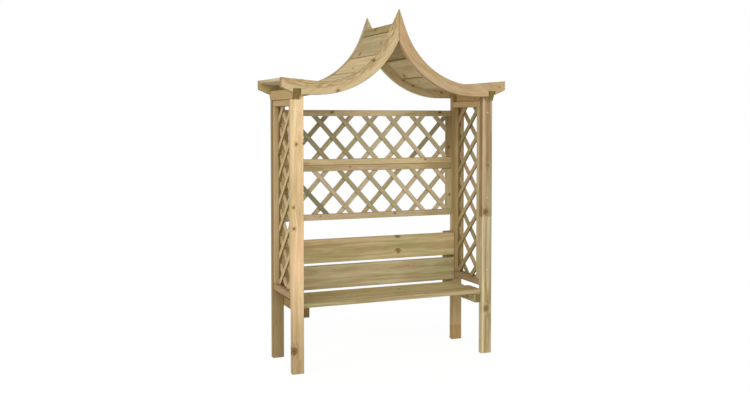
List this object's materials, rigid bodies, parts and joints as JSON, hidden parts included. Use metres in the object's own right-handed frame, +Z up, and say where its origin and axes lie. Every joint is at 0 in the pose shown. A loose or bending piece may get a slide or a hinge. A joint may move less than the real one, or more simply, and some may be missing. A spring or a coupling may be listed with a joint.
{
  "type": "pergola bench",
  "caption": "Wooden garden arbour: slatted bench between four posts, with lattice side and back panels and a concave pagoda roof of planks on curved boards that rise to a point.",
  "frame": {"origin": "on the ground, midway between the four posts", "axes": "+Z up, a sitter faces -Y, +X to the right as seen from the front"},
  "size_m": [1.425, 0.4966, 2.0884],
  "materials": {
    "post_pine": "planed, pressure treated, pale tan with a green tinge",
    "beam_pine": "planed, pressure treated, tan",
    "arch_pine": "sawn and planed, pressure treated, tan with rough sawn edges",
    "roof_pine": "planed, pressure treated, olive",
    "frame_pine": "planed, pressure treated, tan",
    "lath_pine": "sawn, pressure treated, olive",
    "seat_pine": "planed, pressure treated, olive tan",
    "back_rest_pine": "planed, pressure treated, olive tan"
  },
  "bodies": {
    "root": {"post_front_left": "post_pine", "post_front_right": "post_pine", "post_back_left": "post_pine", "post_back_right": "post_pine", "side_beam_left": "beam_pine", "side_beam_right": "beam_pine", "arch_front_left": "arch_pine", "arch_front_right": "arch_pine", "arch_back_left": "arch_pine", "arch_back_right": "arch_pine", "roof_plank_left_1": "roof_pine", "roof_plank_left_2": "roof_pine", "roof_plank_left_3": "roof_pine", "roof_plank_left_4": "roof_pine", "roof_plank_left_5": "roof_pine", "roof_plank_left_6": "roof_pine", "roof_plank_right_1": "roof_pine", "roof_plank_right_2": "roof_pine", "roof_plank_right_3": "roof_pine", "roof_plank_right_4": "roof_pine", "roof_plank_right_5": "roof_pine", "roof_plank_right_6": "roof_pine", "side_panel_left_bottom_rail": "frame_pine", "side_panel_left_top_rail": "frame_pine", "side_panel_left_front_stile": "frame_pine", "side_panel_left_back_stile": "frame_pine", "side_panel_left_lattice": "lath_pine", "side_panel_right_bottom_rail": "frame_pine", "side_panel_right_top_rail": "frame_pine", "side_panel_right_front_stile": "frame_pine", "side_panel_right_back_stile": "frame_pine", "side_panel_right_lattice": "lath_pine", "back_panel_upper_bottom_rail": "frame_pine", "back_panel_upper_top_rail": "frame_pine", "back_panel_upper_left_stile": "frame_pine", "back_panel_upper_right_stile": "frame_pine", "back_panel_upper_lattice": "lath_pine", "back_panel_lower_bottom_rail": "frame_pine", "back_panel_lower_top_rail": "frame_pine", "back_panel_lower_left_stile": "frame_pine", "back_panel_lower_right_stile": "frame_pine", "back_panel_lower_lattice": "lath_pine", "seat_bearer_left": "seat_pine", "seat_bearer_right": "seat_pine", "seat_board_front": "seat_pine", "seat_board_rear": "seat_pine", "back_board_lower": "back_rest_pine", "back_board_upper": "back_rest_pine", "back_batten_left": "back_rest_pine", "back_batten_right": "back_rest_pine"}
  },
  "joints": []
}
